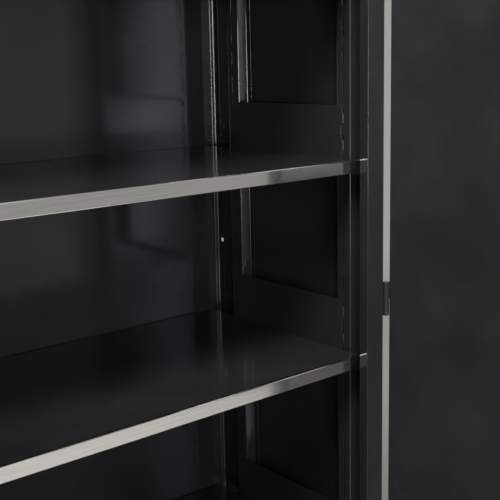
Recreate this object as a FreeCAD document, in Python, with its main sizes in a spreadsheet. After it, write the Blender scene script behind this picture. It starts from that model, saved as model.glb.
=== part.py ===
import FreeCAD
import Part
import Sketcher
import os
import re

# Two-door steel storage cabinet, millimetres. X to the right, Y to the back, Z up.
# The origin lies on the floor, in the middle of the four anchor holes of the base.
# Doors are drawn shut and then turned about their hinge pins to the open rest angle.

sizes = {
    "width": 916, "depth": 490, "height": 1950, "gauge": 1.0, "bend": 1.6, "fit": 0.3,
    # doors lie over the front of the carcass
    "doorThick": 20, "doorGap": 2, "doorFold": 22, "doorBend": 2.4, "doorClear": 4, "seam": 3,
    "openAngle": 110, "stiffenerWidth": 120, "stiffenerGauge": 1.2,
    "astragalFoot": 18.5, "astragalLap": 14, "astragalInset": 6,
    "bufferRadius": 6, "bufferInset": 200, "bufferDrop": 25,
    # folded front posts, rails and rear flanges
    "postFace": 40, "postReturn": 18, "postBend": 0.8,
    "rearFlange": 14, "rearBend": 4, "hemWidth": 6, "hemThick": 3,
    "headDrop": 50, "floorTop": 100, "kickHeight": 60, "railReturn": 18, "rearLip": 30, "sideLip": 25,
    "lipInset": 30, "channelWidth": 50, "channelDrop": 30, "channelGauge": 1.5, "channelInset": 6,
    "joinRadius": 4.5, "joinInset": 11, "joinFoot": 199, "joinMargin": 51,
    "wallHoleRadius": 4.5, "wallHoleSpan": 600, "wallHoleDrop": 100,
    "rivetRadius": 4, "rivetHead": 1.6, "rivetInset": 9, "rivetMargin": 40, "rivetCount": 6,
    # recessed base
    "kickSetback": 40, "kickFoot": 45, "kickGauge": 2, 
    "anchorX": 350, "anchorInset": 18, "anchorRadius": 5.5,
    # slotted uprights
    "uprightDepth": 21, "uprightFace": 31, "uprightSlant": 8.5, "uprightFoot": 9, "uprightGauge": 1.5,
    "uprightBend": 4, "footBend": 2.5, "uprightHeadGap": 8,
    "slotPitch": 50, "slotLength": 28, "slotWidth": 3, "slotFirst": 175,
    # shelves, on slot steps, and the brackets they rest on
    "stepOne": 7, "stepTwo": 15, "stepThree": 22, "slotsAbove": 5,
    "shelfSetback": 30, "shelfRearGap": 6, "shelfLip": 22, "shelfReturn": 12,
    "trimGauge": 0.8, "trimLeg": 6, "trimBend": 1.6,
    "ribWidth": 50, "ribDrop": 18, "ribGauge": 1.2, "ribInset": 14, "ribSetback": 218,
    "slotSetback": 46, "slotSpan": 305, "bracketRise": 92, "bracketGauge": 1.5, "bracketLedge": 20,
    "bracketBend": 1, "tabReach": 4, "tabBend": 1.2, "hookReach": 6, "hookDrop": 8, "hookPlay": 1,
    # hinges
    "hingeOut": 6, "hingePinRadius": 3, "hingeBarrel": 5.5, "hingeHalf": 30,
    "hingeInset": 186, "hingeWasher": 0.5,
    "leafThick": 2, "leafNeck": 6.5, "frameLeaf": 26.5, "doorLeaf": 12.5, "runFit": 0.05,
    # handle, cam and locking rods
    "lockX": 45, "lockZ": 1050, "spindleRadius": 5, "spindleClear": 3,
    "plateWidth": 40, "plateHeight": 130, "plateThick": 3, "plateCorner": 9,
    "caseWidth": 62, "caseHeight": 100, "caseDepth": 14.8,
    "leverLength": 115, "leverButt": 12, "leverHeight": 20, "leverTip": 15, "leverThick": 11,
    "leverStand": 23, "leverRound": 7, "bossRadius": 12, "bossGap": 0.2,
    "rodTravel": 20, "rodRadius": 4, "rodDepth": 11, "rodStandoff": 4, "strikerRoom": 3,
    "camRadius": 20, "camThick": 3, "camGap": 2.5, "tongueWidth": 18, "tongueReach": 66,
    "pinRadius": 3, "pinPlay": 0.6,
    "pinLength": 8.5, "yokeWall": 3, "yokeThick": 5, "yokeHeight": 28,
    "guideWidth": 18, "guideHeight": 16, "guideWall": 3, "guideInset": 50,
}

derived = {
    "halfW": "width / 2",
    "wallX": "halfW - gauge",
    "postX": "halfW - postFace",
    "flangeX": "halfW - rearFlange",
    "faceX": "wallX - uprightDepth",
    "doorFront": "-depth / 2",
    "doorBack": "doorFront + doorThick",
    "frontY": "doorBack + doorGap",
    "rearY": "depth / 2 - gauge",
    "kickY": "frontY + kickSetback",
    "anchorY": "-(kickY + anchorInset)",
    "shelfY": "frontY + shelfSetback",
    "shelfRear": "rearY - shelfRearGap",
    "shelfX": "faceX - bracketGauge - fit",
    "slotFrontY": "shelfY + slotSetback",
    "slotRearY": "slotFrontY + slotSpan",
    "slotBase": "slotFirst - slotPitch / 2",
    "slotCount": "floor((height - headDrop - uprightHeadGap - slotFirst - slotLength) / slotPitch) + 1",
    "shelfOne": "slotBase + round(stepOne) * slotPitch",
    "shelfTwo": "slotBase + round(stepTwo) * slotPitch",
    "shelfThree": "slotBase + round(stepThree) * slotPitch",
    "shelfFour": "slotBase + (slotCount - round(slotsAbove)) * slotPitch",
    "joinStep": "(height - joinMargin - joinFoot) / 2",
    "flank": "uprightGauge * sqrt(1 + (uprightSlant / uprightDepth) ^ 2)",
    "doorFoot": "kickHeight + doorClear",
    "doorHead": "height - doorClear",
    "doorMid": "(seam / 2 + halfW) / 2",
    "hingeX": "halfW + hingeOut",
    "hingeY": "frontY - doorGap / 2",
    "hingeLow": "doorFoot + hingeInset",
    "hingeHigh": "doorHead - hingeInset",
    "hingeMid": "(hingeLow + hingeHigh) / 2",
    "rodY": "doorBack + rodDepth",
    "pinThrow": "rodTravel / 2",
    "pinSway": "pinThrow * (sqrt(2) - 1)",
}

doc = FreeCAD.newDocument("steel_cabinet")
params = doc.addObject("Spreadsheet::Sheet", "Params")
for row, (name, entry) in enumerate(list(sizes.items()) + list(derived.items()), 1):
    params.set("A%d" % row, name)
    params.set("B%d" % row, str(entry) if name in sizes else "=" + entry)
    params.setAlias("B%d" % row, name)
doc.recompute()
known = set(sizes) | set(derived)


# sizes by name become references to the sheet
def bind(text):
    return re.sub(r"[A-Za-z_]\w*",
                  lambda m: "Params." + m.group(0) if m.group(0) in known else m.group(0), text)


def value(text):
    return float(params.evalExpression(bind(text)))


def place(obj, x, y, z):
    for axis, text in zip("xyz", (x, y, z)):
        obj.setExpression("Placement.Base." + axis, bind(text))


def body(name):
    return doc.addObject("PartDesign::Body", name)


def origin(owner, role):
    return [f for f in owner.Origin.OriginFeatures if f.Role == role][0]


# A closed sketch of straight lines on an origin plane, moved to a level along the plane's axis.
# Square lines are held square, and each line's place is a dimension bound to the sheet, so that the
# sketch is fully constrained.
def sketch(owner, name, plane, level, *loops):
    drawn = owner.newObject("Sketcher::SketchObject", name)
    drawn.AttachmentSupport = [(origin(owner, plane + "_Plane"), "")]
    drawn.MapMode = "FlatFace"
    drawn.setExpression("AttachmentOffset.Base.z", bind("-(%s)" % level if plane == "XZ" else level))
    first = 0
    for loop in loops:
        count = len(loop)
        points = [FreeCAD.Vector(value(u), value(v), 0) for u, v in loop]
        for i in range(count):
            drawn.addGeometry(Part.LineSegment(points[i], points[(i + 1) % count]), False)
        for i in range(count):
            after = first + (i + 1) % count
            drawn.addConstraint(Sketcher.Constraint("Coincident", first + i, 2, after, 1))
        for way, square, measure, axis in ((0, "Vertical", "DistanceX", -2),
                                           (1, "Horizontal", "DistanceY", -1)):
            level_with = [loop[i][way] == loop[(i + 1) % count][way] for i in range(count)]
            for i in range(count):
                if level_with[i]:
                    drawn.addConstraint(Sketcher.Constraint(square, first + i))
            for i in range(count):
                if level_with[i - 1]:
                    continue
                if loop[i][way] == "0":
                    drawn.addConstraint(Sketcher.Constraint("PointOnObject", first + i, 1, axis))
                    continue
                number = drawn.addConstraint(
                    Sketcher.Constraint(measure, -1, 1, first + i, 1, points[i][way]))
                drawn.setExpression("Constraints[%d]" % number, bind(loop[i][way]))
        first += count
    return drawn


def rectangle(u0, u1, v0, v1):
    return [(u0, v0), (u1, v0), (u1, v1), (u0, v1)]


# XY sketches grow along +Z, YZ along +X and XZ along +Y
def pad(owner, name, plane, level, length, *loops):
    profile = sketch(owner, name + "Sketch", plane, level, *loops)
    grown = owner.newObject("PartDesign::Pad", name)
    grown.Profile = profile
    grown.setExpression("Length", bind(length))
    grown.Reversed = plane == "XZ"
    profile.Visibility = False
    owner.Tip = grown
    return grown


# rounds the edges that run along one axis through the given places of the other two
def bend(owner, name, axis, radius, spots):
    doc.recompute()
    base = owner.Tip
    along = "xyz".index(axis)
    keep = [i for i in range(3) if i != along]
    places = [(value(u), value(v)) for u, v in spots]
    picked = []
    for number, edge in enumerate(base.Shape.Edges, 1):
        ends = [v.Point for v in edge.Vertexes]
        if len(ends) != 2 or (ends[1] - ends[0]).Length - abs(ends[1][along] - ends[0][along]) > 1e-6:
            continue
        if any(abs(ends[0][keep[0]] - u) < 1e-3 and abs(ends[0][keep[1]] - v) < 1e-3 for u, v in places):
            picked.append("Edge%d" % number)
    soft = owner.newObject("PartDesign::Fillet", name)
    soft.Base = (base, picked)
    soft.setExpression("Radius", bind(radius))
    owner.Tip = soft
    return soft


# opens the flat face at one level of an axis and leaves a wall behind all the others
def shell(owner, name, axis, level, wall):
    doc.recompute()
    base = owner.Tip
    letter, height = axis.upper(), value(level)
    open_faces = ["Face%d" % n for n, face in enumerate(base.Shape.Faces, 1)
                  if abs(getattr(face.BoundBox, letter + "Min") - height) < 1e-3
                  and abs(getattr(face.BoundBox, letter + "Max") - height) < 1e-3]
    walls = owner.newObject("PartDesign::Thickness", name)
    walls.Base = (base, open_faces)
    walls.setExpression("Value", bind(wall))
    walls.Reversed = True
    owner.Tip = walls
    return walls


def block(owner, name, kind, x0, x1, y0, y1, z0, z1):
    solid = owner.newObject("PartDesign::%sBox" % kind, name)
    for prop, low, high in (("Length", x0, x1), ("Width", y0, y1), ("Height", z0, z1)):
        solid.setExpression(prop, bind("(%s) - (%s)" % (high, low)))
    place(solid, x0, y0, z0)
    owner.Tip = solid
    return solid


turns = {
    "x": (FreeCAD.Vector(0, 1, 0), 90),
    "y": (FreeCAD.Vector(1, 0, 0), -90),
    "z": (FreeCAD.Vector(0, 0, 1), 0),
}


def round_bar(owner, name, kind, axis, radius, x, y, z, length):
    solid = owner.newObject("PartDesign::%sCylinder" % kind, name)
    solid.setExpression("Radius", bind(radius))
    solid.setExpression("Height", bind(length))
    solid.Placement = FreeCAD.Placement(FreeCAD.Vector(), FreeCAD.Rotation(*turns[axis]))
    place(solid, x, y, z)
    owner.Tip = solid
    return solid


# a many-sided bar whose flats lie at the given radius, for small round forms that repeat
def flat_bar(owner, name, kind, axis, radius, x, y, z, length, sides=12):
    solid = owner.newObject("PartDesign::%sPrism" % kind, name)
    solid.Polygon = sides
    solid.setExpression("Circumradius", bind("(%s) / cos(180 deg / %d)" % (radius, sides)))
    solid.setExpression("Height", bind(length))
    solid.Placement = FreeCAD.Placement(FreeCAD.Vector(), FreeCAD.Rotation(*turns[axis]))
    place(solid, x, y, z)
    owner.Tip = solid
    return solid


def repeat(owner, name, features, axis, pitch, count):
    row = owner.newObject("PartDesign::LinearPattern", name)
    row.Originals = features
    row.Direction = (origin(owner, axis + "_Axis"), [""])
    row.setExpression("Length", bind("(%s) * (%s - 1)" % (pitch, count)))
    row.setExpression("Occurrences", bind(count))
    owner.Tip = row
    return row


def reflect(owner, name, features, plane="YZ"):
    pair = owner.newObject("PartDesign::Mirrored", name)
    pair.Originals = features
    pair.MirrorPlane = (origin(owner, plane + "_Plane"), [""])
    owner.Tip = pair
    return pair


def group(name, shapes):
    held = doc.addObject("Part::Compound", name)
    held.Links = shapes
    return held


def copy(name, source, x, y, z):
    again = group(name, [source])
    place(again, x, y, z)
    return again


def mirror(name, source, normal=FreeCAD.Vector(1, 0, 0)):
    other = doc.addObject("Part::Mirroring", name)
    other.Source = source
    other.Normal = normal
    return other


nodes = []


def node(obj, label):
    obj.Label = label
    nodes.append(obj)
    return obj


# turns a right-hand (side = 1) or left-hand (side = -1) door piece about its hinge pins
def swing(obj, side):
    turn = "%d * openAngle * 1 deg" % side
    px, py = "%d * hingeX" % side, "hingeY"
    moved_x = "%s - (%s * cos(%s) - %s * sin(%s))" % (px, px, turn, py, turn)
    moved_y = "%s - (%s * sin(%s) + %s * cos(%s))" % (py, px, turn, py, turn)
    obj.Placement = FreeCAD.Placement(FreeCAD.Vector(), FreeCAD.Rotation(FreeCAD.Vector(0, 0, 1), 10))
    obj.setExpression("Placement.Base.x", bind(moved_x))
    obj.setExpression("Placement.Base.y", bind(moved_y))
    obj.setExpression("Placement.Rotation.Angle", bind("%d * openAngle" % side))
    return obj


# side panels: one sheet folded into a front post with a return, and a rear flange with an open hem
side = body("sidePanel")
pad(side, "sideFold", "XY", "0", "height", [
    ("postX", "frontY + postReturn"), ("postX", "frontY"), ("halfW", "frontY"), ("halfW", "rearY"),
    ("flangeX", "rearY"), ("flangeX", "rearY - hemThick"), ("flangeX + hemWidth", "rearY - hemThick"),
    ("flangeX + hemWidth", "rearY - gauge"), ("wallX", "rearY - gauge"), ("wallX", "frontY + gauge"),
    ("postX + gauge", "frontY + gauge"), ("postX + gauge", "frontY + postReturn")])
bend(side, "sidePostBend", "z", "postBend", [("postX", "frontY")])
bend(side, "sideCorner", "z", "bend", [("halfW", "frontY")])
bend(side, "sideRearBend", "z", "rearBend + gauge", [("halfW", "rearY")])
bend(side, "sideRearInside", "z", "rearBend", [("wallX", "rearY - gauge")])
bend(side, "sideHem", "z", "hemThick / 2 - 0.1", [("flangeX", "rearY"), ("flangeX", "rearY - hemThick")])
joinHole = round_bar(side, "joinHole", "Subtractive", "x", "joinRadius",
                     "wallX - gauge", "rearY - gauge - joinInset", "joinFoot", "3 * gauge")
repeat(side, "joinHoles", [joinHole], "Z", "joinStep", "3")
node(side, "side_panel_right")
node(mirror("sideLeft", side), "side_panel_left")

# back panel with two wall-fixing holes, and the rivets along its edges
back = body("backPanel")
pad(back, "backSheet", "XZ", "rearY", "gauge", rectangle("-wallX", "wallX", "0", "height"))
wallHole = round_bar(back, "wallHole", "Subtractive", "y", "wallHoleRadius",
                     "wallHoleSpan / 2", "rearY - gauge", "height - wallHoleDrop", "3 * gauge")
reflect(back, "wallHoles", [wallHole])
node(back, "back_panel")
rivets = []
for i in range(int(value("rivetCount"))):
    rivet = body("rivet%d" % i)
    flat_bar(rivet, "rivetHead%d" % i, "Additive", "y", "rivetRadius", "halfW - rivetInset", "depth / 2",
             "rivetMargin + %d * (height - 2 * rivetMargin) / (rivetCount - 1)" % i, "rivetHead", 8)
    rivets += [rivet, mirror("rivetLeft%d" % i, rivet)]
node(group("rivetSet", rivets), "back_rivets")


# A deck is cut out round the post returns and the rear hems, with a front rail folded down and back,
# and lips down at the rear and the sides. One half is drawn and mirrored.
def deck(name, level, drop):
    sheet = body(name)
    top = pad(sheet, name + "Sheet", "XY", level + " - gauge", "gauge", [
        ("0", "frontY"), ("postX - fit", "frontY"), ("postX - fit", "frontY + postReturn + fit"),
        ("postX + gauge + fit", "frontY + postReturn + fit"),
        ("postX + gauge + fit", "frontY + postBend + fit"),
        ("postX + postBend + fit", "frontY + gauge"), ("wallX", "frontY + gauge"),
        ("wallX", "rearY - gauge - rearBend - fit"), ("flangeX - fit", "rearY - gauge - rearBend - fit"),
        ("flangeX - fit", "rearY"), ("0", "rearY")])
    low = "%s - %s" % (level, drop)
    rail = pad(sheet, name + "Rail", "YZ", "0", "postX - fit", [
        ("frontY", level), ("frontY", low), ("frontY + railReturn", low),
        ("frontY + railReturn", low + " + gauge"), ("frontY + gauge", low + " + gauge"),
        ("frontY + gauge", level)])
    rear = pad(sheet, name + "RearLip", "YZ", "0", "flangeX - fit",
               rectangle("rearY - gauge", "rearY", level + " - rearLip", level))
    lip = pad(sheet, name + "SideLip", "YZ", "wallX - gauge", "gauge",
              rectangle("frontY + lipInset", "rearY - lipInset", level + " - sideLip", level))
    reflect(sheet, name + "Halves", [top, rail, rear, lip])
    bend(sheet, name + "Bends", "x", "bend", [("frontY", level), ("frontY", low), ("rearY", level)])
    return sheet


# the locking rods shoot into a slot in the head rail's return and one in the floor
def striker(sheet, name, x, level):
    block(sheet, name, "Subtractive",
          x + " - rodRadius - strikerRoom", x + " + rodRadius + strikerRoom",
          "rodY - rodRadius - fit * 4", "rodY + rodRadius + fit * 4",
          level + " - gauge", level + " + 2 * gauge")


top = deck("topPanel", "height", "headDrop")
striker(top, "topStriker", "lockX - pinThrow", "height - headDrop")
node(top, "top_panel")
floor = deck("floorPanel", "floorTop", "(floorTop - kickHeight)")
striker(floor, "floorStriker", "lockX + pinThrow", "floorTop - gauge")
node(floor, "floor_panel")


# a trough section, open upwards, as long as it is padded
def trough(middle, wide, low, high, wall):
    return [("%s - %s / 2" % (middle, wide), high), ("%s - %s / 2" % (middle, wide), low),
            ("%s + %s / 2" % (middle, wide), low), ("%s + %s / 2" % (middle, wide), high),
            ("%s + %s / 2 - %s" % (middle, wide, wall), high),
            ("%s + %s / 2 - %s" % (middle, wide, wall), "%s + %s" % (low, wall)),
            ("%s - %s / 2 + %s" % (middle, wide, wall), "%s + %s" % (low, wall)),
            ("%s - %s / 2 + %s" % (middle, wide, wall), high)]


channel = body("floorChannel")
pad(channel, "floorTrough", "YZ", "-(wallX - channelInset)", "2 * (wallX - channelInset)",
    trough("0", "channelWidth", "floorTop - channelDrop", "floorTop - gauge", "channelGauge"))
node(channel, "floor_channel")

# recessed base: a folded rail at the front and its mirror at the rear, each with two anchor holes
plinth = body("plinth")
pad(plinth, "plinthFold", "YZ", "-(wallX - gauge)", "2 * (wallX - gauge)", [
    ("kickY", "0"), ("kickY + kickFoot", "0"), ("kickY + kickFoot", "kickGauge"),
    ("kickY + kickGauge", "kickGauge"), ("kickY + kickGauge", "floorTop - gauge"),
    ("kickY", "floorTop - gauge")])
anchorHole = round_bar(plinth, "anchorHole", "Subtractive", "z", "anchorRadius",
                       "anchorX", "-anchorY", "-kickGauge", "3 * kickGauge")
reflect(plinth, "anchorHoles", [anchorHole])
node(plinth, "plinth_front")
node(mirror("plinthRear", plinth, FreeCAD.Vector(0, 1, 0)), "plinth_rear")

# slotted upright: a hat section with slanted flanks, feet welded to the side panel and a row of hook slots
upright = body("upright")
half = "uprightFace / 2"
hat = [("wallX", half + " + uprightSlant + uprightFoot"),
       ("wallX - uprightGauge", half + " + uprightSlant + uprightFoot"),
       ("wallX - uprightGauge", half + " + uprightSlant * (1 - uprightGauge / uprightDepth)"),
       ("faceX", half)]
hollow = [("faceX + uprightGauge", half + " + uprightSlant * uprightGauge / uprightDepth - flank"),
          ("wallX", half + " + uprightSlant - flank")]
pad(upright, "uprightHat", "XY", "floorTop", "height - headDrop - uprightHeadGap - floorTop",
    [(x, "-(%s)" % y) for x, y in hat] + hat[::-1]
    + [(x, y) for x, y in hollow[::-1]] + [(x, "-(%s)" % y) for x, y in hollow])
bend(upright, "uprightBends", "z", "uprightBend", [hat[3], (hat[3][0], "-(%s)" % hat[3][1])])
bend(upright, "uprightFeet", "z", "footBend", [hat[2], (hat[2][0], "-(%s)" % hat[2][1])])
slot = block(upright, "slot", "Subtractive", "faceX - uprightGauge", "faceX + 2 * uprightGauge",
             "-slotWidth / 2", "slotWidth / 2",
             "slotFirst - slotLength / 2", "slotFirst + slotLength / 2")
repeat(upright, "slots", [slot], "Z", "slotPitch", "slotCount")
for label, y in (("front", "slotFrontY"), ("rear", "slotRearY")):
    stood = node(copy("upright" + label, upright, "0", y, "0"), "upright_%s_right" % label)
    node(mirror("uprightLeft" + label, stood), "upright_%s_left" % label)

# shelf: a tray folded down all round with a return, drawn with its top at zero and set on a slot step
tray = body("tray")
pad(tray, "trayBlank", "XY", "-shelfLip", "shelfLip",
    rectangle("-shelfX", "shelfX", "shelfY + trimGauge", "shelfRear"))
shell(tray, "trayWalls", "z", "-shelfLip", "gauge")
bend(tray, "trayEnds", "y", "bend", [("shelfX", "0"), ("-shelfX", "0")])
pad(tray, "trayReturn", "XY", "-shelfLip", "gauge",
    rectangle("-shelfX", "shelfX", "shelfY + trimGauge", "shelfRear"),
    rectangle("-shelfX + shelfReturn", "shelfX - shelfReturn", "shelfY + trimGauge + shelfReturn",
              "shelfRear - shelfReturn"))

# stainless trim, clipped over the front lip
trim = body("trim")
under = "-shelfLip - trimGauge"
pad(trim, "trimFold", "YZ", "-shelfX", "2 * shelfX", [
    ("shelfY + trimLeg", under), ("shelfY", under), ("shelfY", "trimGauge"),
    ("shelfY + trimLeg", "trimGauge"), ("shelfY + trimLeg", "0"), ("shelfY + trimGauge", "0"),
    ("shelfY + trimGauge", "-shelfLip"), ("shelfY + trimLeg", "-shelfLip")])
bend(trim, "trimBends", "x", "trimBend", [("shelfY", under), ("shelfY", "trimGauge")])

rib = body("rib")
pad(rib, "ribTrough", "YZ", "-(shelfX - ribInset)", "2 * (shelfX - ribInset)",
    trough("shelfY + ribSetback", "ribWidth", "-ribDrop", "-gauge", "ribGauge"))

# bracket: an angle that carries the shelf's end, with tabs bent through the slots of the uprights and
# hooked behind their faces
bracket = body("bracket")
pad(bracket, "bracketAngle", "XZ", "slotFrontY + tabReach", "slotSpan - 2 * tabReach", [
    ("faceX - bracketLedge", "-shelfLip - bracketGauge"),
    ("faceX - bracketBend", "-shelfLip - bracketGauge"),
    ("faceX", "-shelfLip - bracketGauge + bracketBend"), ("faceX", "bracketRise"),
    ("faceX - bracketGauge", "bracketRise"), ("faceX - bracketGauge", "-shelfLip"),
    ("faceX - bracketLedge", "-shelfLip")])
hookTail = "faceX + uprightGauge + hookReach"
seat = "slotPitch / 2 - slotLength / 2"
for end, line, way, back in (("Front", "slotFrontY", "-", "+"), ("Rear", "slotRearY", "+", "-")):
    outer = "%s %s bracketGauge / 2" % (line, way)
    inner = "%s %s bracketGauge / 2" % (line, back)
    start = "%s %s tabReach" % (line, back)
    slope = "%s %s tabBend" % (outer, back)
    tab = pad(bracket, "tab" + end, "XY", seat, "slotLength - hookDrop - hookPlay", [
        ("faceX - bracketGauge", start), ("faceX - bracketGauge", slope),
        ("faceX - bracketGauge + tabBend", outer), (hookTail, outer), (hookTail, inner),
        ("faceX", inner), ("faceX", start)])
    hook = pad(bracket, "hook" + end, "XY", seat + " - hookDrop", "hookDrop",
               rectangle("faceX + uprightGauge + fit", hookTail, outer, inner))
    repeat(bracket, "hooks" + end, [tab, hook], "Z", "slotPitch", "2")

for number, z in enumerate(("shelfOne", "shelfTwo", "shelfThree", "shelfFour"), 1):
    node(copy("shelf%d" % number, tray, "0", "0", z), "shelf_%d" % number)
    node(copy("trim%d" % number, trim, "0", "0", z), "shelf_trim_%d" % number)
    node(copy("rib%d" % number, rib, "0", "0", z), "shelf_channel_%d" % number)
    hung = node(copy("bracket%d" % number, bracket, "0", "0", z), "shelf_bracket_%d_right" % number)
    node(mirror("bracketLeft%d" % number, hung), "shelf_bracket_%d_left" % number)

# lift-off hinge, drawn about its own pin: the frame leaf carries the pin, the door leaf drops over it
frameLeaf = body("frameLeaf")
leafX = ("-hingeOut", "leafThick - hingeOut")
block(frameLeaf, "frameLeafPlate", "Additive", leafX[0], leafX[1],
      "leafNeck", "leafNeck + frameLeaf", "-hingeHalf", "hingeHalf")
block(frameLeaf, "frameLeafArm", "Additive", leafX[0] + " + fit", leafX[1],
      "0", "leafNeck", "-hingeHalf", "0")
flat_bar(frameLeaf, "frameBarrel", "Additive", "z", "hingeBarrel", "0", "0", "-hingeHalf", "hingeHalf")
round_bar(frameLeaf, "hingePin", "Additive", "z", "hingePinRadius",
          "0", "0", "-hingeHalf", "2 * hingeHalf")
doorLeaf = body("doorLeaf")
block(doorLeaf, "doorLeafPlate", "Additive", leafX[0], leafX[1],
      "-leafNeck - doorLeaf", "-leafNeck", "-hingeHalf", "hingeHalf")
block(doorLeaf, "doorLeafArm", "Additive", leafX[0] + " + fit", leafX[1],
      "-leafNeck", "0", "hingeWasher", "hingeHalf")
flat_bar(doorLeaf, "doorBarrel", "Additive", "z", "hingeBarrel",
         "0", "0", "hingeWasher", "hingeHalf - hingeWasher")
flat_bar(doorLeaf, "hingeBore", "Subtractive", "z", "hingePinRadius + runFit",
         "0", "0", "-hingeHalf", "3 * hingeHalf")
spots = ("hingeLow", "hingeMid", "hingeHigh")
frameSet = [copy("frameLeaf" + z, frameLeaf, "hingeX", "hingeY", z) for z in spots]
frameLeaves = node(group("frameLeaves", frameSet), "hinge_leaves_right")
node(mirror("frameLeavesLeft", frameLeaves), "hinge_leaves_left")
doorSet = [copy("doorLeaf" + z, doorLeaf, "hingeX", "hingeY", z) for z in spots]
doorLeaves = node(swing(group("doorLeaves", doorSet), 1), "door_leaves_right")
node(mirror("doorLeavesLeft", doorLeaves), "door_leaves_left")


# doors: a folded pan with a return all round, a full-height stiffener and an inner liner
def door_pan(name):
    pan = body(name)
    face = ("seam / 2", "halfW", "doorFoot", "doorHead")
    pad(pan, name + "Blank", "XZ", "doorFront", "doorThick", rectangle(*face))
    bend(pan, name + "Edges", "z", "doorBend", [("seam / 2", "doorFront"), ("halfW", "doorFront")])
    shell(pan, name + "Walls", "y", "doorBack", "gauge")
    pad(pan, name + "Return", "XZ", "doorBack - gauge", "gauge", rectangle(*face),
        rectangle("seam / 2 + doorFold", "halfW - doorFold",
                  "doorFoot + doorFold", "doorHead - doorFold"))
    return pan


def liner(name):
    sheet = body(name)
    pad(sheet, name + "Sheet", "XZ", "doorBack - 2 * gauge", "gauge",
        rectangle("seam / 2 + gauge", "halfW - gauge", "doorFoot + gauge", "doorHead - gauge"))
    return sheet


panRight = door_pan("panRight")
flat_bar(panRight, "panSpindle", "Subtractive", "y", "spindleRadius + spindleClear",
         "lockX", "doorFront - gauge", "lockZ", "3 * gauge")
node(swing(panRight, 1), "door_right_pan")
node(swing(mirror("panLeftHand", door_pan("panLeft")), -1), "door_left_pan")
stiffener = body("stiffener")
pad(stiffener, "stiffenerTrough", "XY", "doorFoot + 2 * gauge", "doorHead - doorFoot - 4 * gauge",
    trough("doorMid", "stiffenerWidth", "doorFront + gauge", "doorBack - 2 * gauge", "stiffenerGauge"))
node(swing(stiffener, 1), "door_right_channel")
node(mirror("stiffenerLeft", stiffener), "door_left_channel")
linerRight = liner("linerRight")
flat_bar(linerRight, "linerHole", "Subtractive", "y", "spindleRadius + spindleClear",
         "lockX", "doorBack - 3 * gauge", "lockZ", "3 * gauge")
node(swing(linerRight, 1), "door_right_liner")
node(swing(mirror("linerLeftHand", liner("linerLeft")), -1), "door_left_liner")

# the left-hand door's cover strip steps over the seam behind the right-hand door
astragal = body("astragal")
step = [
    ("-seam / 2 - astragalFoot", "doorBack"), ("-seam / 2", "doorBack"), ("-seam / 2", "doorBack + fit"),
    ("astragalLap", "doorBack + fit"), ("astragalLap", "doorBack + fit + gauge"),
    ("-seam / 2 - gauge", "doorBack + fit + gauge"), ("-seam / 2 - gauge", "doorBack + gauge"),
    ("-seam / 2 - astragalFoot", "doorBack + gauge")]
pad(astragal, "astragalFold", "XY",
    "doorFoot + astragalInset", "doorHead - doorFoot - 2 * astragalInset", step)
node(swing(astragal, -1), "door_left_astragal")

# rubber buffers on the head and floor rails
buffers = []
for tag, z in (("High", "height - bufferDrop"), ("Low", "kickHeight + (floorTop - kickHeight) / 2")):
    buffer = body("buffer" + tag)
    flat_bar(buffer, "bufferPad" + tag, "Additive", "y", "bufferRadius",
             "bufferInset", "doorBack + fit", z, "doorGap - fit", 8)
    buffers += [buffer, mirror("bufferLeft" + tag, buffer)]
node(group("bufferSet", buffers), "door_buffers")

# lock on the right-hand door: escutcheon and case
plate = body("plate")
pad(plate, "plateBlank", "XZ", "doorFront - plateThick", "plateThick",
    rectangle("lockX - plateWidth / 2", "lockX + plateWidth / 2",
              "lockZ - plateHeight / 2", "lockZ + plateHeight / 2"))
bend(plate, "plateCorners", "y", "plateCorner", [
    ("lockX %s plateWidth / 2" % a, "lockZ %s plateHeight / 2" % b) for a in "+-" for b in "+-"])
round_bar(plate, "plateBore", "Subtractive", "y", "bossRadius + fit",
          "lockX", "doorFront - 2 * plateThick", "lockZ", "3 * plateThick")
node(swing(plate, 1), "lock_escutcheon")
case = body("case")
pad(case, "caseBlank", "XZ", "doorFront + gauge", "caseDepth",
    rectangle("lockX - caseWidth / 2", "lockX + caseWidth / 2",
              "lockZ - caseHeight / 2", "lockZ + caseHeight / 2"))
flat_bar(case, "caseBore", "Subtractive", "y", "spindleRadius + runFit",
         "lockX", "doorFront", "lockZ", "2 * caseDepth")
node(swing(case, 1), "lock_case")

# lever handle: a tapered grip on a turned boss and spindle
lever = body("lever")
grip = [("lockX - leverButt", "lockZ - leverHeight / 2"), ("lockX + leverLength", "lockZ - leverTip / 2"),
        ("lockX + leverLength", "lockZ + leverTip / 2"), ("lockX - leverButt", "lockZ + leverHeight / 2")]
pad(lever, "leverGrip", "XZ", "doorFront - leverStand - leverThick", "leverThick", grip)
bend(lever, "leverEnds", "y", "leverRound", grip)
turned = lever.newObject("PartDesign::Revolution", "leverBoss")
turned.Profile = sketch(lever, "leverBossSketch", "XY", "0", [
    ("0", "doorFront - leverStand - leverThick / 2"),
    ("bossRadius", "doorFront - leverStand - leverThick / 2"),
    ("bossRadius", "doorFront - bossGap"), ("spindleRadius", "doorFront - bossGap"),
    ("spindleRadius", "doorBack + camGap"), ("0", "doorBack + camGap")])
turned.ReferenceAxis = (turned.Profile[0], ["V_Axis"])
turned.Angle = 360
turned.Profile[0].setExpression("AttachmentOffset.Base.x", bind("lockX"))
turned.Profile[0].setExpression("AttachmentOffset.Base.z", bind("lockZ"))
lever.Tip = turned
node(swing(lever, 1), "lock_handle")

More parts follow.
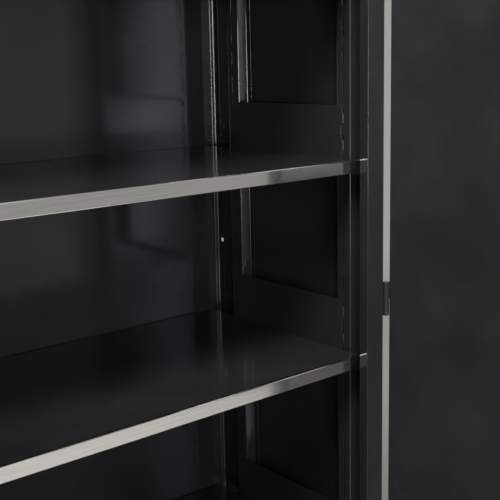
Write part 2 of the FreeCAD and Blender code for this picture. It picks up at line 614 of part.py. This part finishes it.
# cam: a disc with a tongue that turns behind the left-hand door, and two pins that drive the rods
cam = body("cam")
round_bar(cam, "camDisc", "Additive", "y", "camRadius", "lockX", "doorBack + camGap", "lockZ", "camThick")
pad(cam, "camTongue", "XZ", "doorBack + camGap", "camThick",
    rectangle("lockX - tongueWidth / 2", "lockX + tongueWidth / 2", "lockZ - tongueReach", "lockZ"))
for tag, way in (("Upper", "-"), ("Lower", "+")):
    flat_bar(cam, "camPin" + tag, "Additive", "y", "pinRadius", "lockX %s pinThrow" % way,
             "doorBack + camGap", "lockZ %s pinThrow" % way, "camThick + pinLength")
node(swing(cam, 1), "lock_cam")


# each rod ends in a yoke, whose cross slot turns the pin's quarter circle into a straight throw
def locking_rod(name, label, way):
    back, on = ("-", "+") if way == "+" else ("+", "-")
    x, pin = "lockX %s pinThrow" % back, "lockZ %s pinThrow" % back
    far = "height - headDrop - rodStandoff" if way == "+" else "floorTop + rodStandoff"
    near, wide = "(pinRadius + pinPlay)", "(pinRadius + pinPlay + pinSway)"
    left, right = (wide, near) if way == "+" else (near, wide)
    yoke = body(name)
    pad(yoke, name + "Yoke", "XZ", "rodY - yokeThick / 2", "yokeThick",
        rectangle("%s - %s - yokeWall" % (x, left), "%s + %s + yokeWall" % (x, right),
                  pin + " - yokeHeight / 2", pin + " + yokeHeight / 2"),
        rectangle("%s - %s" % (x, left), "%s + %s" % (x, right),
                  pin + " - pinRadius - pinPlay", pin + " + pinRadius + pinPlay"))
    start = "%s %s (yokeHeight / 2 - yokeWall)" % (pin, on)
    low, high = (start, far) if way == "+" else (far, start)
    round_bar(yoke, name + "Bar", "Additive", "z", "rodRadius",
              x, "rodY", low, "(%s) - (%s)" % (high, low))
    return node(swing(yoke, 1), label)


locking_rod("rodUpper", "lock_rod_upper", "+")
locking_rod("rodLower", "lock_rod_lower", "-")

# moulded rod guides, screwed to the door's inside clear of the cover strip
guides = []
for tag, back, z in (("Upper", "-", "height - headDrop - guideInset"),
                     ("Lower", "+", "floorTop + guideInset - guideHeight")):
    x = "lockX %s pinThrow" % back
    guide = body("guide" + tag)
    pad(guide, "guideFoot" + tag, "XY", z, "guideHeight", [
        ("astragalLap + guideWall", "doorBack"), (x + " + guideWidth / 2", "doorBack"),
        (x + " + guideWidth / 2", "rodY + rodRadius + guideWall"),
        (x + " - guideWidth / 2", "rodY + rodRadius + guideWall"),
        (x + " - guideWidth / 2", "doorBack + guideWall"),
        ("astragalLap + guideWall", "doorBack + guideWall")])
    flat_bar(guide, "guideBore" + tag, "Subtractive", "z", "rodRadius + runFit",
             x, "rodY", z + " - guideHeight", "3 * guideHeight")
    guides.append(guide)
node(swing(group("guideSet", guides), 1), "rod_guides")

doc.recompute()
for obj in doc.Objects:
    if "Invalid" in obj.State or "Error" in obj.State:
        raise RuntimeError("%s did not build: %s" % (obj.Name, obj.State))
    if obj.TypeId == "Sketcher::SketchObject" and not obj.FullyConstrained:
        raise RuntimeError("%s is not fully constrained" % obj.Name)
for obj in nodes:
    if obj.Shape.isNull() or not obj.Shape.isValid() or not obj.Shape.Solids:
        raise RuntimeError("%s has no valid solid" % obj.Label)
os.makedirs("parts", exist_ok=True)
for obj in nodes:
    obj.Shape.exportStep("parts/%s.step" % obj.Label)
print("nodes", len(nodes))
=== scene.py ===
import bmesh
import bpy
import math
from mathutils import Matrix, Vector


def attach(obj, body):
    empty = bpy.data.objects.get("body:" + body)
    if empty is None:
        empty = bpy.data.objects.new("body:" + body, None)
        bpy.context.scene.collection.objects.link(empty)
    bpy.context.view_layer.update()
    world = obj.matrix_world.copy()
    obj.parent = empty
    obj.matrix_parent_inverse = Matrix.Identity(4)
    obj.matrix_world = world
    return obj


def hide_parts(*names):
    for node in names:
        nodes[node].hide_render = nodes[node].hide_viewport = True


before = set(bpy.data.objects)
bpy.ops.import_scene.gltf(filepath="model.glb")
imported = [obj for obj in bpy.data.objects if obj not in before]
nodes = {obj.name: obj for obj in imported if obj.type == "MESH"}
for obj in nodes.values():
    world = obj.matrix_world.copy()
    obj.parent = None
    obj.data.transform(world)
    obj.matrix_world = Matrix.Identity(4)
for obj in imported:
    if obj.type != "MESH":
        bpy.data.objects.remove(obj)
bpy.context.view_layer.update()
scene = bpy.context.scene
scene.view_settings.view_transform = "Standard"
print("cabinet frame loaded,", len(nodes), "nodes")


# sRGB hex to the linear colour that shaders take
def linear(hexText):
    parts = [int(hexText[i:i + 2], 16) / 255 for i in (1, 3, 5)]
    return tuple(c / 12.92 if c <= 0.04045 else ((c + 0.055) / 1.055) ** 2.4 for c in parts) + (1.0,)


# one node with its settings (input name, input number or attribute) and its links
def addNode(tree, kind, settings=None, links=None):
    made = tree.nodes.new("ShaderNode" + kind)
    for key, value in (settings or {}).items():
        if isinstance(key, int) or key in made.inputs:
            made.inputs[key].default_value = value
        else:
            setattr(made, key, value)
    for key, source in (links or {}).items():
        tree.links.new(source, made.inputs[key])
    return made


def perMetre(millimetres):
    return 1000.0 / millimetres


def newMaterial(name):
    made = bpy.data.materials.new(name)
    made.use_nodes = True
    made.node_tree.nodes.clear()
    return made, made.node_tree


# the photograph's standpoint, left of the cabinet and a little above its middle
cameraSet = {"place": (-0.7184, -1.2838, 1.4223), "yaw": 39.56, "pitch": 10.153, "roll": 1.184,
             "lens": 66.25, "sensor": 36.0, "shiftY": -0.05, "near": 0.02, "far": 60}


def makeCamera(spec):
    yaw, pitch, roll = (math.radians(spec[k]) for k in ("yaw", "pitch", "roll"))
    level = Vector((math.sin(yaw), math.cos(yaw), 0))
    right = Vector((math.cos(yaw), -math.sin(yaw), 0))
    down = Vector((0, 0, -1))
    ahead = level * math.cos(pitch) + down * math.sin(pitch)
    tilted = down * math.cos(pitch) - level * math.sin(pitch)
    imageX = right * math.cos(roll) + tilted * math.sin(roll)
    imageDown = tilted * math.cos(roll) - right * math.sin(roll)
    data = bpy.data.cameras.new("photoCamera")
    data.sensor_width, data.lens, data.shift_y = spec["sensor"], spec["lens"], spec["shiftY"]
    data.clip_start, data.clip_end = spec["near"], spec["far"]
    camera = bpy.data.objects.new("photoCamera", data)
    scene.collection.objects.link(camera)
    turn = Matrix((imageX, -imageDown, -ahead)).transposed().to_4x4()
    camera.matrix_world = Matrix.Translation(Vector(spec["place"])) @ turn
    scene.camera = camera


makeCamera(cameraSet)
print("camera set")


# Polyester powder coat, sprayed and baked on sheet steel: a deep semi-gloss black, a fine orange peel that
# breaks up reflections, a slow waviness of the thin sheet, and hazy patches where hands have rubbed.
def semiGlossBlackPowderCoat():
    made, tree = newMaterial("semiGlossBlackPowderCoat")
    spot = addNode(tree, "TexCoord").outputs["Object"]
    peel = addNode(tree, "TexNoise", {"Scale": perMetre(2.6), "Detail": 2.0, "Roughness": 0.55},
                   {"Vector": spot})
    wave = addNode(tree, "TexNoise", {"Scale": perMetre(110), "Detail": 1.0}, {"Vector": spot})
    touch = addNode(tree, "TexNoise", {"Scale": perMetre(140), "Detail": 4.0, "Roughness": 0.6},
                    {"Vector": spot})
    tone = addNode(tree, "ValToRGB", links={"Fac": touch.outputs["Fac"]})
    tone.color_ramp.elements[0].position, tone.color_ramp.elements[0].color = 0.35, linear("#1c1c1d")
    tone.color_ramp.elements[1].position, tone.color_ramp.elements[1].color = 0.70, linear("#242425")
    gloss = addNode(tree, "MapRange", {"From Min": 0.3, "From Max": 0.75, "To Min": 0.095, "To Max": 0.13},
                    {"Value": touch.outputs["Fac"]})
    slow = addNode(tree, "Bump", {"Strength": 0.14, "Distance": 0.0005}, {"Height": wave.outputs["Fac"]})
    fine = addNode(tree, "Bump", {"Strength": 0.30, "Distance": 0.00001},
                   {"Height": peel.outputs["Fac"], "Normal": slow.outputs["Normal"]})
    shader = addNode(tree, "BsdfPrincipled", {"IOR": 1.56},
                     {"Base Color": tone.outputs["Color"], "Roughness": gloss.outputs["Result"],
                      "Normal": fine.outputs["Normal"]})
    addNode(tree, "OutputMaterial", links={"Surface": shader.outputs["BSDF"]})
    return made


# Stainless steel strip, cold rolled and brushed along its length: warm bright grey with fine streaks,
# drawn coarser than life.
def brushedStainless():
    made, tree = newMaterial("brushedStainless")
    spot = addNode(tree, "TexCoord").outputs["Object"]
    along = addNode(tree, "Mapping", {"Scale": (perMetre(90), perMetre(1.1), perMetre(1.1))},
                    {"Vector": spot})
    streak = addNode(tree, "TexNoise", {"Scale": 1.0, "Detail": 3.0, "Roughness": 0.6},
                     {"Vector": along.outputs["Vector"]})
    smear = addNode(tree, "TexNoise", {"Scale": perMetre(45), "Detail": 3.0}, {"Vector": spot})
    tone = addNode(tree, "ValToRGB", links={"Fac": streak.outputs["Fac"]})
    tone.color_ramp.elements[0].position, tone.color_ramp.elements[0].color = 0.3, linear("#d4d2cf")
    tone.color_ramp.elements[1].position, tone.color_ramp.elements[1].color = 0.7, linear("#e8e6e3")
    gloss = addNode(tree, "MapRange", {"From Min": 0.3, "From Max": 0.7, "To Min": 0.07, "To Max": 0.13},
                    {"Value": smear.outputs["Fac"]})
    line = addNode(tree, "Bump", {"Strength": 0.2, "Distance": 0.00006}, {"Height": streak.outputs["Fac"]})
    shader = addNode(tree, "BsdfPrincipled", {"Metallic": 1.0},
                     {"Base Color": tone.outputs["Color"], "Roughness": gloss.outputs["Result"],
                      "Normal": line.outputs["Normal"]})
    addNode(tree, "OutputMaterial", links={"Surface": shader.outputs["BSDF"]})
    return made


# Zinc-plated mild steel, barrel plated and passivated: pale blue-grey with faint straw-coloured patches.
def zincPlatedSteel():
    made, tree = newMaterial("zincPlatedSteel")
    spot = addNode(tree, "TexCoord").outputs["Object"]
    patch = addNode(tree, "TexNoise", {"Scale": perMetre(14), "Detail": 4.0, "Roughness": 0.6},
                    {"Vector": spot})
    tone = addNode(tree, "ValToRGB", links={"Fac": patch.outputs["Fac"]})
    tone.color_ramp.elements[0].position, tone.color_ramp.elements[0].color = 0.32, linear("#a9adb3")
    tone.color_ramp.elements[1].position, tone.color_ramp.elements[1].color = 0.72, linear("#c6c2b4")
    gloss = addNode(tree, "MapRange", {"From Min": 0.3, "From Max": 0.7, "To Min": 0.30, "To Max": 0.44},
                    {"Value": patch.outputs["Fac"]})
    shader = addNode(tree, "BsdfPrincipled", {"Metallic": 1.0},
                     {"Base Color": tone.outputs["Color"], "Roughness": gloss.outputs["Result"]})
    addNode(tree, "OutputMaterial", links={"Surface": shader.outputs["BSDF"]})
    return made


# Zinc die casting with a satin nickel plate: soft grey metal, finely blasted, drawn coarser than life.
def satinNickelZinc():
    made, tree = newMaterial("satinNickelZinc")
    spot = addNode(tree, "TexCoord").outputs["Object"]
    blast = addNode(tree, "TexNoise", {"Scale": perMetre(1.4), "Detail": 2.0}, {"Vector": spot})
    rub = addNode(tree, "TexNoise", {"Scale": perMetre(30), "Detail": 3.0}, {"Vector": spot})
    tone = addNode(tree, "ValToRGB", links={"Fac": rub.outputs["Fac"]})
    tone.color_ramp.elements[0].position, tone.color_ramp.elements[0].color = 0.3, linear("#8e8c88")
    tone.color_ramp.elements[1].position, tone.color_ramp.elements[1].color = 0.7, linear("#a3a19c")
    gloss = addNode(tree, "MapRange", {"From Min": 0.3, "From Max": 0.7, "To Min": 0.26, "To Max": 0.36},
                    {"Value": rub.outputs["Fac"]})
    grain = addNode(tree, "Bump", {"Strength": 0.2, "Distance": 0.00005}, {"Height": blast.outputs["Fac"]})
    shader = addNode(tree, "BsdfPrincipled", {"Metallic": 1.0},
                     {"Base Color": tone.outputs["Color"], "Roughness": gloss.outputs["Result"],
                      "Normal": grain.outputs["Normal"]})
    addNode(tree, "OutputMaterial", links={"Surface": shader.outputs["BSDF"]})
    return made


# Polyamide 6, injection moulded: black with a soft gloss and a spark-eroded grain, drawn coarser than life.
def mouldedNylon():
    made, tree = newMaterial("mouldedNylon")
    spot = addNode(tree, "TexCoord").outputs["Object"]
    grain = addNode(tree, "TexVoronoi", {"Scale": perMetre(0.9)}, {"Vector": spot})
    haze = addNode(tree, "TexNoise", {"Scale": perMetre(9), "Detail": 3.0}, {"Vector": spot})
    tone = addNode(tree, "ValToRGB", links={"Fac": haze.outputs["Fac"]})
    tone.color_ramp.elements[0].color = linear("#19191a")
    tone.color_ramp.elements[1].color = linear("#242426")
    lift = addNode(tree, "Bump", {"Strength": 0.15, "Distance": 0.00005},
                   {"Height": grain.outputs["Distance"]})
    shader = addNode(tree, "BsdfPrincipled", {"IOR": 1.53, "Roughness": 0.42},
                     {"Base Color": tone.outputs["Color"], "Normal": lift.outputs["Normal"]})
    addNode(tree, "OutputMaterial", links={"Surface": shader.outputs["BSDF"]})
    return made


# Neoprene, compression moulded: matt black with a dusty bloom.
def neopreneRubber():
    made, tree = newMaterial("neopreneRubber")
    spot = addNode(tree, "TexCoord").outputs["Object"]
    bloom = addNode(tree, "TexNoise", {"Scale": perMetre(4), "Detail": 4.0}, {"Vector": spot})
    tone = addNode(tree, "ValToRGB", links={"Fac": bloom.outputs["Fac"]})
    tone.color_ramp.elements[0].color = linear("#1a1a1a")
    tone.color_ramp.elements[1].color = linear("#2c2b2a")
    shader = addNode(tree, "BsdfPrincipled", {"IOR": 1.52, "Roughness": 0.8},
                     {"Base Color": tone.outputs["Color"]})
    addNode(tree, "OutputMaterial", links={"Surface": shader.outputs["BSDF"]})
    return made


finishes = {"coated_steel": semiGlossBlackPowderCoat(), "trim_stainless": brushedStainless(),
            "zinc_steel": zincPlatedSteel(), "handle_zinc": satinNickelZinc(),
            "guide_nylon": mouldedNylon(), "buffer_rubber": neopreneRubber()}
for item in nodes.values():
    for place in item.material_slots:
        place.material = finishes[place.material.name.split(".")[0]]
print("finishes given to the steel pieces")

# sheet edges: welded corners and a small rounding where the sheet was cut or folded
# wide flat sheets with round holes stay plain, because rounding their rims streaks the flat faces
edgeSet = {"weld": 0.00001, "round": 0.0005, "steps": 2, "angle": 35,
           "plain": ("back_panel", "door_right_pan", "door_right_liner")}
for label, item in nodes.items():
    if label in edgeSet["plain"]:
        continue
    weld = item.modifiers.new("joinCorners", "WELD")
    weld.merge_threshold = edgeSet["weld"]
    bevel = item.modifiers.new("softEdges", "BEVEL")
    bevel.width, bevel.segments, bevel.limit_method = edgeSet["round"], edgeSet["steps"], "ANGLE"
    bevel.angle_limit = math.radians(edgeSet["angle"])
    bevel.use_clamp_overlap = True
    bevel.harden_normals = True
print("edges rounded")


# folds sharper than this many degrees keep a hard line on the added pieces
hardFold = 38


# points and faces in millimetres to one smooth piece that takes a finish and rides on a body
def addPiece(name, shapes, finish, body):
    mesh = bpy.data.meshes.new(name)
    points, faces = [], []
    for corners, sides in shapes:
        faces += [[len(points) + i for i in side] for side in sides]
        points += [(x / 1000, y / 1000, z / 1000) for x, y, z in corners]
    mesh.from_pydata(points, [], faces)
    shaped = bmesh.new()
    shaped.from_mesh(mesh)
    bmesh.ops.recalc_face_normals(shaped, faces=shaped.faces)
    shaped.to_mesh(mesh)
    shaped.free()
    mesh.shade_smooth()
    mesh.set_sharp_from_angle(angle=math.radians(hardFold))
    mesh.materials.append(finishes[finish])
    piece = bpy.data.objects.new(name, mesh)
    scene.collection.objects.link(piece)
    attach(piece, body)
    return piece


# a turned head: rings of (half width, half height, rise, corners) stand out along an axis from a spot;
# 0 corners is round, 6 is a hexagon socket
def turnedHead(rings, spot, axis, steps=24):
    out = Vector(axis)
    up = Vector((0, 0, 1))
    across = up.cross(out)
    points, faces = [], []
    for wide, tall, rise, corners in rings:
        for k in range(steps):
            angle = 2 * math.pi * k / steps
            wedge = 2 * math.pi / corners if corners else 0
            flat = math.cos(wedge / 2) / math.cos(angle % wedge - wedge / 2) if corners else 1.0
            points.append(Vector(spot) + across * (wide * flat * math.cos(angle))
                          + up * (tall * flat * math.sin(angle)) + out * rise)
    for ring in range(len(rings) - 1):
        for k in range(steps):
            here, there = ring * steps + k, ring * steps + (k + 1) % steps
            faces.append((here, there, there + steps, here + steps))
    faces.append(tuple(range(steps)))
    faces.append(tuple(range((len(rings) - 1) * steps, len(rings) * steps)))
    return points, faces


# a folded strip: an outline in plan drawn up between two levels
def foldedStrip(outline, low, high):
    count = len(outline)
    points = [(x, y, z) for z in (low, high) for x, y in outline]
    faces = [(k, (k + 1) % count, (k + 1) % count + count, k + count) for k in range(count)]
    faces += [tuple(range(count)), tuple(range(count, 2 * count))]
    return points, faces


# points along an arc given as (centre x, centre y, radius)
def arcPoints(spec, start, end, steps):
    angles = [math.radians(start + (end - start) * k / steps) for k in range(steps + 1)]
    return [(spec[0] + spec[2] * math.cos(a), spec[1] + spec[2] * math.sin(a)) for a in angles]


# door pieces are drawn shut and swung to the open rest about the hinge pins
doorSwing = {"pinX": 464, "pinY": -224, "angle": 110}


def swungOpen(shape, side):
    points, faces = shape
    pin = Vector((side * doorSwing["pinX"], doorSwing["pinY"], 0))
    turn = Matrix.Rotation(math.radians(side * doorSwing["angle"]), 3, "Z")
    return [turn @ (Vector(point) - pin) + pin for point in points], faces


# blind rivets along the back panel's edges: a low dome with the hole of the pulled pin
rivetSet = {"x": 449, "y": 245, "low": 40, "high": 1910, "count": 6,
            "head": [(4.1, 4.1, 0, 0), (4.1, 4.1, 0.35, 0), (3.6, 3.6, 0.95, 0), (2.6, 2.6, 1.4, 0),
                     (1.6, 1.6, 1.58, 0), (1.3, 1.3, 1.5, 0), (1.15, 1.15, 0.5, 0)]}
rivetStep = (rivetSet["high"] - rivetSet["low"]) / (rivetSet["count"] - 1)
rivetLevels = [rivetSet["low"] + i * rivetStep for i in range(rivetSet["count"])]
rivets = [turnedHead(rivetSet["head"], (side * rivetSet["x"], rivetSet["y"], z), (0, 1, 0))
          for side in (-1, 1) for z in rivetLevels]
backRivets = addPiece("backBlindRivets", rivets, "coated_steel", "carcass")
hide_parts("back_rivets")

# socket screws in the hinge leaves, two to a leaf
hingeSet = {"levels": (250, 1005, 1760), "spread": 17, "faceX": 460, "frameY": -204, "doorY": -236.8,
            "head": [(3.4, 3.4, 0, 0), (3.4, 3.4, 0.4, 0), (3.1, 3.1, 1.1, 0), (2.5, 2.5, 1.6, 0),
                     (1.9, 1.9, 1.8, 0), (1.5, 1.5, 1.8, 6), (1.4, 1.4, 0.7, 6)]}
screwLevels = [z + way * hingeSet["spread"] for z in hingeSet["levels"] for way in (-1, 1)]
frameScrews = [turnedHead(hingeSet["head"], (side * hingeSet["faceX"], hingeSet["frameY"], z), (side, 0, 0))
               for side in (-1, 1) for z in screwLevels]
addPiece("frameHingeScrews", frameScrews, "zinc_steel", "carcass")
for label, side in (("left", -1), ("right", 1)):
    shutScrews = [turnedHead(hingeSet["head"], (side * hingeSet["faceX"], hingeSet["doorY"], z), (side, 0, 0))
                  for z in screwLevels]
    doorScrews = [swungOpen(screw, side) for screw in shutScrews]
    addPiece("doorHingeScrews_" + label, doorScrews, "zinc_steel", "door_" + label)

# key cylinder above the handle, and the two screws of the escutcheon
lockSet = {"x": 45, "faceY": -248, "keyZ": 1086, "keySteps": 36, "screwZ": (994, 1106),
           "cylinder": [(9.5, 9.5, 0, 0), (9.5, 9.5, 2.2, 0), (9.0, 9.0, 2.8, 0), (7.6, 7.6, 2.8, 0),
                        (7.3, 7.3, 2.2, 0), (6.9, 6.9, 2.0, 0), (6.6, 6.6, 2.6, 0), (2.6, 4.9, 2.6, 0),
                        (1.1, 4.3, 2.6, 0), (1.0, 4.2, 0.3, 0)],
           "screw": [(3.3, 3.3, 0, 0), (3.3, 3.3, 0.25, 0), (2.8, 2.8, 0.6, 0), (1.7, 1.7, 0.75, 0),
                     (1.35, 1.35, 0.75, 6), (1.25, 1.25, 0.1, 6)]}
front = (0, -1, 0)
keySpot = (lockSet["x"], lockSet["faceY"], lockSet["keyZ"])
cylinder = turnedHead(lockSet["cylinder"], keySpot, front, lockSet["keySteps"])
addPiece("lockKeyCylinder", [swungOpen(cylinder, 1)], "handle_zinc", "door_right")
plateScrews = [swungOpen(turnedHead(lockSet["screw"], (lockSet["x"], lockSet["faceY"], z), front), 1)
               for z in lockSet["screwZ"]]
addPiece("lockPlateScrews", plateScrews, "zinc_steel", "door_right")

# angle that closes the back of each front post, spot-welded to the side panel
lipSet = {"start": 419.05, "wall": 456.9, "front": -206, "gauge": 1.0, "bend": 2.0, "bendSteps": 5,
          "flange": 15, "low": 102, "high": 1898}


def lipOutline(spec):
    corner = (spec["wall"] - spec["bend"], spec["front"] + spec["bend"])
    outer = arcPoints(corner + (spec["bend"],), -90, 0, spec["bendSteps"])
    inner = arcPoints(corner + (spec["bend"] - spec["gauge"],), 0, -90, spec["bendSteps"])
    rear = spec["front"] + spec["flange"]
    end = [(spec["wall"], rear), (spec["wall"] - spec["gauge"], rear)]
    back = [(spec["start"], spec["front"] + spec["gauge"])]
    return [(spec["start"], spec["front"])] + outer + end + inner + back


lips = [foldedStrip([(side * x, y) for x, y in lipOutline(lipSet)], lipSet["low"], lipSet["high"])
        for side in (-1, 1)]
addPiece("postClosingAngles", lips, "zinc_steel", "carcass")

# rolled hem of each rear flange, run with a soft cove into the side panel
# each arc turns from one angle to another in a number of steps
hemSet = {"edge": (446.5, 242.5, 2.6), "edgeArc": (146, 270, 12),
          "shoulder": (448.7, 241.5, 1.6), "shoulderArc": (270, 360, 8),
          "cove": (452.0, 238.0, 4.8), "coveArc": (90, 0, 10),
          "sheet": 242.8, "rear": 243.95, "wall": 456.95, "low": 102, "high": 1896}
hemOutline = arcPoints(hemSet["edge"], *hemSet["edgeArc"])
hemOutline += arcPoints(hemSet["shoulder"], *hemSet["shoulderArc"])
hemOutline += [(hemSet["shoulder"][0] + hemSet["shoulder"][2], hemSet["sheet"])]
hemOutline += arcPoints(hemSet["cove"], *hemSet["coveArc"])
hemOutline += [(hemSet["wall"], hemSet["cove"][1]), (hemSet["wall"], hemSet["rear"])]
hems = [foldedStrip([(side * x, y) for x, y in hemOutline], hemSet["low"], hemSet["high"])
        for side in (-1, 1)]
addPiece("rearFlangeHems", hems, "coated_steel", "carcass")
print("rivets, screws, key cylinder, post angles and hems added")

# what rays from the eye, a mirror or glass see of the studio; the light on the cabinet stays apart from it
backdropSet = {"colour": "#f4f3f0", "seen": 0.39, "light": 0.17}


def seenDirectly(tree):
    path = addNode(tree, "LightPath")
    seen = addNode(tree, "Math", {"operation": "MAXIMUM"},
                   {0: path.outputs["Is Camera Ray"], 1: path.outputs["Is Glossy Ray"]})
    both = addNode(tree, "Math", {"operation": "MAXIMUM"},
                   {0: seen.outputs[0], 1: path.outputs["Is Transmission Ray"]})
    return both.outputs[0]


# pale floor that fades into the backdrop well away from the cabinet and its shadow
floorSet = {"half": 6.0, "colour": "#e8e6e2", "roughness": 0.55, "fadeFrom": 2.6, "fadeTo": 5.6}
floorMesh = bpy.data.meshes.new("studioFloor")
half = floorSet["half"]
floorCorners = [(-half, -half, 0), (half, -half, 0), (half, half, 0), (-half, half, 0)]
floorMesh.from_pydata(floorCorners, [], [(0, 1, 2, 3)])
floor = bpy.data.objects.new("studioFloor", floorMesh)
scene.collection.objects.link(floor)
floorPaint, tree = newMaterial("paleFloorPaint")
shader = addNode(tree, "BsdfPrincipled",
                 {"Base Color": linear(floorSet["colour"]), "Roughness": floorSet["roughness"]})
away = addNode(tree, "VectorMath", {"operation": "LENGTH"}, {0: addNode(tree, "TexCoord").outputs["Object"]})
fade = addNode(tree, "MapRange", {"interpolation_type": "SMOOTHSTEP", "From Min": floorSet["fadeFrom"],
                                  "From Max": floorSet["fadeTo"]}, {"Value": away.outputs["Value"]})
share = addNode(tree, "Math", {"operation": "MULTIPLY"}, {0: fade.outputs["Result"], 1: seenDirectly(tree)})
glow = addNode(tree, "Emission", {"Color": linear(backdropSet["colour"]), "Strength": backdropSet["seen"]})
blend = addNode(tree, "MixShader",
                links={0: share.outputs[0], 1: shader.outputs["BSDF"], 2: glow.outputs["Emission"]})
addNode(tree, "OutputMaterial", links={"Surface": blend.outputs["Shader"]})
floorMesh.materials.append(floorPaint)

world = bpy.data.worlds.new("softStudio")
world.use_nodes = True
scene.world = world
tree = world.node_tree
tree.nodes.clear()
power = addNode(tree, "MapRange", {"To Min": backdropSet["light"], "To Max": backdropSet["seen"]},
                {"Value": seenDirectly(tree)})
glow = addNode(tree, "Background", {"Color": linear(backdropSet["colour"])},
               {"Strength": power.outputs["Result"]})
addNode(tree, "OutputWorld", links={"Surface": glow.outputs["Background"]})

# soft studio lamps: places, aims and sizes in metres, spread in degrees
lampSet = {
    "keySoftbox": {"place": (-0.82, -3.75, 1.75), "aim": (0.3, 0, 1.5),
                   "wide": 0.8, "high": 1.6, "watts": 8.8, "spread": 56},
    "stripSoftbox": {"place": (-2.10, -3.6, 1.75), "aim": (0.2, 0, 1.2),
                     "wide": 0.27, "high": 2.2, "watts": 27, "tint": "#f3f0ff"},
    "lowSoftbox": {"place": (-1.83, -3.6, 0.65), "aim": (0.2, 0, 1.2),
                   "wide": 0.22, "high": 1.0, "watts": 7, "tint": "#f3f0ff"},
    "frontSoftbox": {"place": (0.42, -4.2, 1.45), "aim": (0.42, 0, 1.45),
                     "wide": 0.8, "high": 1.4, "watts": 4.6, "tint": "#f3f0ff"},
    "sideSoftbox": {"place": (-2.2, -0.6, 3.5), "aim": (0.43, -0.2, 1.1),
                    "wide": 1.2, "high": 1.0, "watts": 28, "spread": 120},
    "overheadSoftbox": {"place": (-0.8, -1.15, 3.3), "aim": (0.15, 0, 1.1),
                        "wide": 1.4, "high": 0.7, "watts": 16, "spread": 62},
    "floorSoftbox": {"place": (0.95, -2.3, 3.4), "aim": (0.85, -2.1, 0),
                     "wide": 1.2, "high": 1.2, "watts": 9, "spread": 70},
    "rearSoftbox": {"place": (-1.6, 3.0, 1.25), "aim": (0, 0.2, 1.0),
                    "wide": 2.8, "high": 1.4, "watts": 26},
}
for name, spec in lampSet.items():
    data = bpy.data.lights.new(name, "AREA")
    data.shape, data.size, data.size_y, data.energy = "RECTANGLE", spec["wide"], spec["high"], spec["watts"]
    data.color = linear(spec.get("tint", "#ffffff"))[:3]
    data.spread = math.radians(spec.get("spread", 180))
    lamp = bpy.data.objects.new(name, data)
    scene.collection.objects.link(lamp)
    lamp.location = spec["place"]
    lamp.rotation_mode = "QUATERNION"
    lamp.rotation_quaternion = (Vector(spec["aim"]) - Vector(spec["place"])).to_track_quat("-Z", "Y")
print("studio lit")
